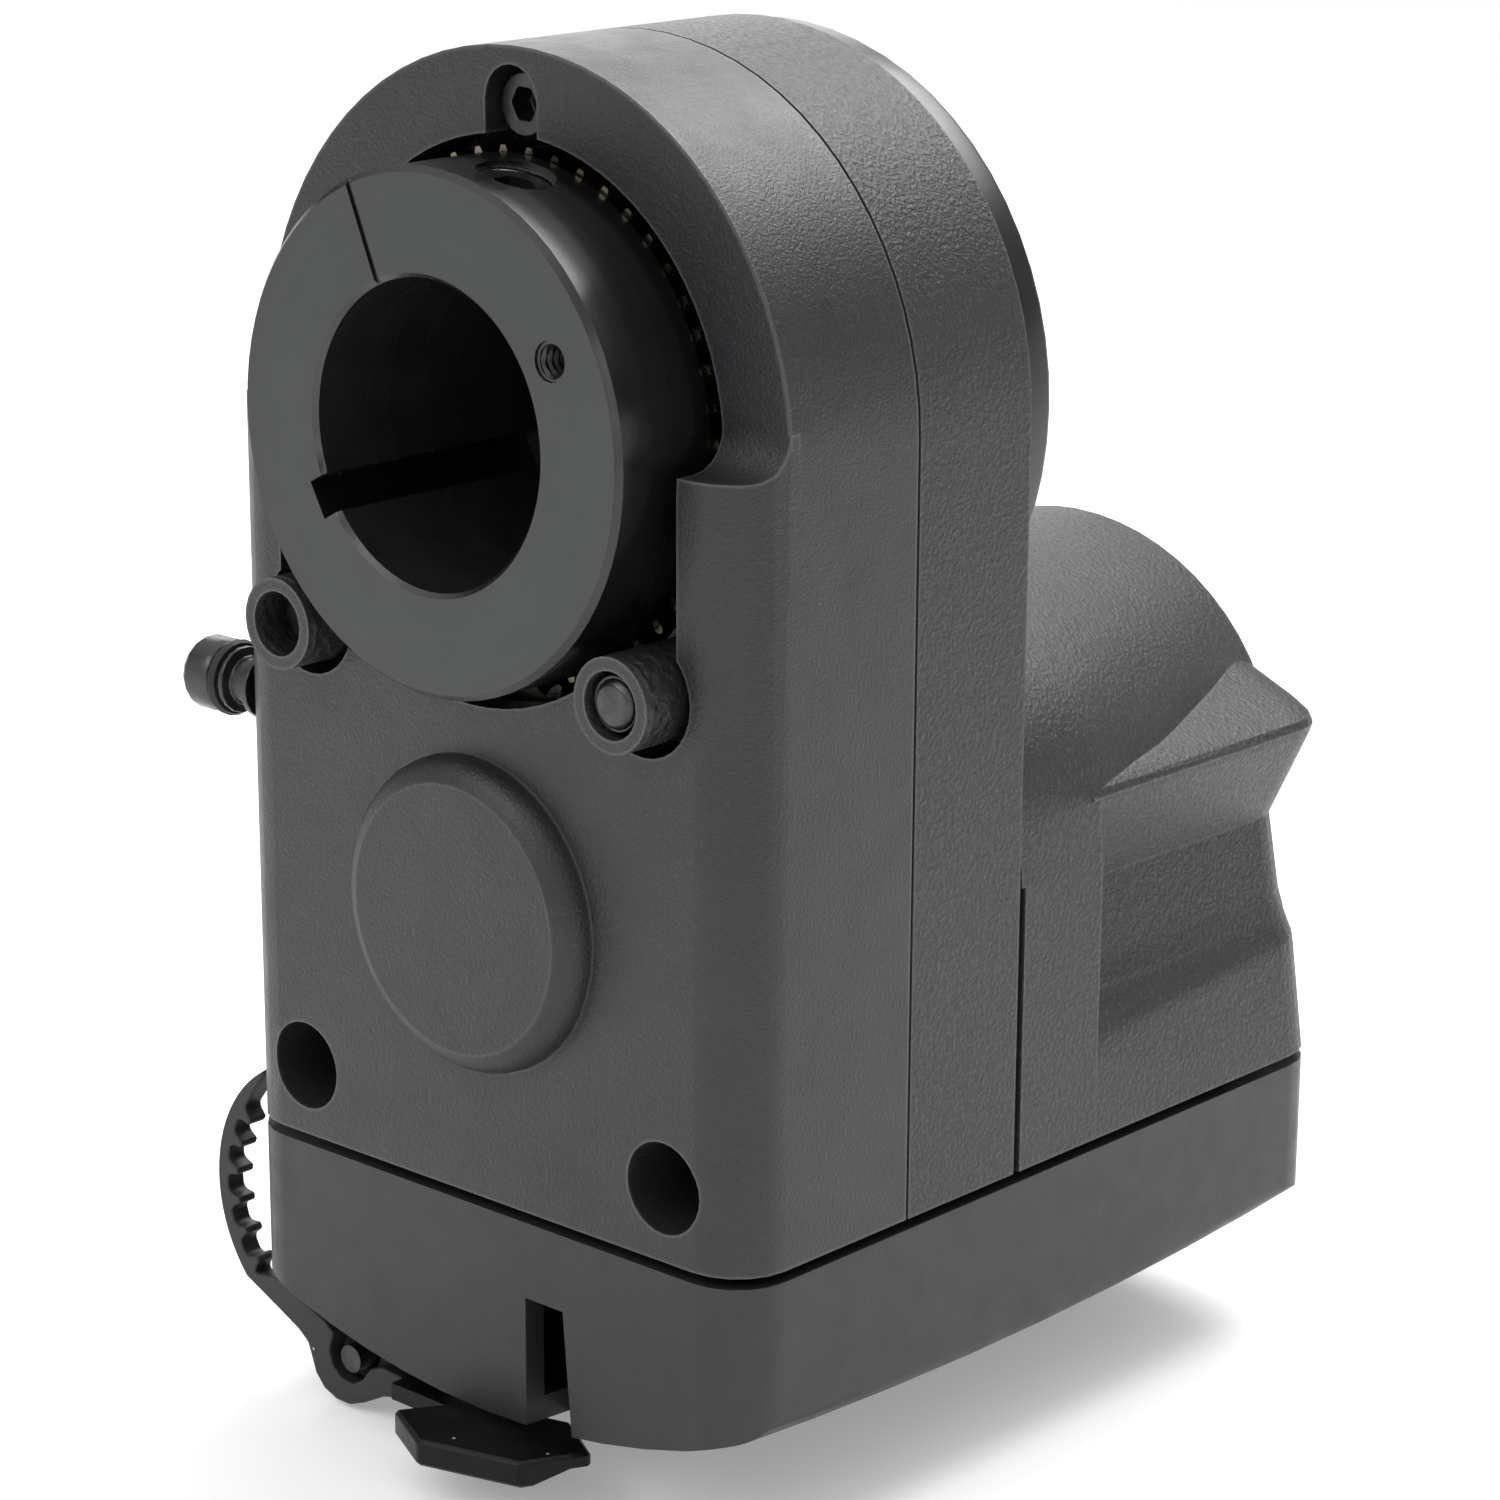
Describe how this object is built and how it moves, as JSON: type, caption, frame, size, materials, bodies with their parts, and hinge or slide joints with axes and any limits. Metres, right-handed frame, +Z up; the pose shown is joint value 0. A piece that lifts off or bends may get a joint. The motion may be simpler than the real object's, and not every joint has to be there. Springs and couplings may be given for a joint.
{
  "type": "motorised telescope focuser",
  "caption": "Motor focuser with a split arch-topped case, a keyed drive collar turned by a gear train, captive mounting screws, rear cap, grip housing and a toothed rubber strap.",
  "frame": {"origin": "on the drive collar's axis, in the plane of the front faces of the two mounting bosses", "axes": "+X to the right as seen from the telescope, +Y along the collar's axis away from the telescope, +Z up from the motor towards the collar"},
  "size_m": [0.0691, 0.0883, 0.1224],
  "materials": {
    "cast_black": "fine-grained satin black",
    "crinkle_black": "leather-grained satin black",
    "satin_plastic": "satin black",
    "black_anodised": "black anodised, turned",
    "black_oxide_steel": "black oxide",
    "bright_steel": "bright",
    "brass": "cut teeth, oiled",
    "sintered_bronze": "oiled sintered bronze",
    "black_rubber": "matte moulded",
    "green_board": "solder mask"
  },
  "bodies": {
    "case": {"front_cover": "cast_black", "middle_frame": "crinkle_black", "motor_housing": "crinkle_black", "base_cover": "satin_plastic", "collar_bush": "sintered_bronze", "idler_pin": "bright_steel", "idler_spacer": "sintered_bronze", "motor_plate": "bright_steel", "planetary_gearbox": "bright_steel", "motor_can": "bright_steel", "motor_end_cap": "satin_plastic", "top_clamp_screw": "black_oxide_steel", "case_screw_left": "black_oxide_steel", "case_screw_right": "black_oxide_steel", "base_screw_1": "black_oxide_steel", "base_screw_2": "black_oxide_steel", "base_screw_3": "black_oxide_steel", "base_screw_4": "black_oxide_steel", "circuit_board": "green_board", "driver_chip": "satin_plastic", "usb_socket": "bright_steel", "hand_control_socket": "satin_plastic", "toothed_strap": "black_rubber", "strap_tab": "black_rubber", "strap_pin": "black_oxide_steel", "strap_stud": "black_anodised", "stud_o_ring": "black_rubber"},
    "collar": {"drive_collar": "black_anodised", "collar_set_screw": "black_oxide_steel", "output_gear": "brass", "collar_retaining_ring": "black_oxide_steel"},
    "idler": {"idler_gear": "brass"},
    "gearmotor_output": {"gearmotor_shaft": "bright_steel", "motor_pinion": "brass"},
    "left_captive_screw": {"captive_screw_left": "black_oxide_steel"},
    "right_captive_screw": {"captive_screw_right": "black_oxide_steel"},
    "cap": {"rear_cap": "satin_plastic"}
  },
  "joints": [
    {"name": "collar_spin", "type": "hinge", "parent": "case", "child": "collar", "pos_m": [0, 0, 0], "axis": [0, 1, 0], "continuous": true},
    {"name": "idler_spin", "type": "hinge", "parent": "case", "child": "idler", "pos_m": [0, 0, -0.0279], "axis": [0, 1, 0], "continuous": true},
    {"name": "pinion_spin", "type": "hinge", "parent": "case", "child": "gearmotor_output", "pos_m": [0, 0, -0.04095], "axis": [0, 1, 0], "continuous": true},
    {"name": "left_captive_screw_slide", "type": "slide", "parent": "case", "child": "left_captive_screw", "axis": [0, -1, 0], "range_m": [0, 0.006]},
    {"name": "right_captive_screw_slide", "type": "slide", "parent": "case", "child": "right_captive_screw", "axis": [0, -1, 0], "range_m": [-0.0024, 0.0036]},
    {"name": "rear_cap_pull", "type": "slide", "parent": "case", "child": "cap", "axis": [0, 1, 0], "range_m": [0, 0.02]}
  ],
  "couplings": [
    {"joint": "idler_spin", "follows": "collar_spin", "ratio": -3.1333},
    {"joint": "pinion_spin", "follows": "collar_spin", "ratio": 3.3571}
  ]
}
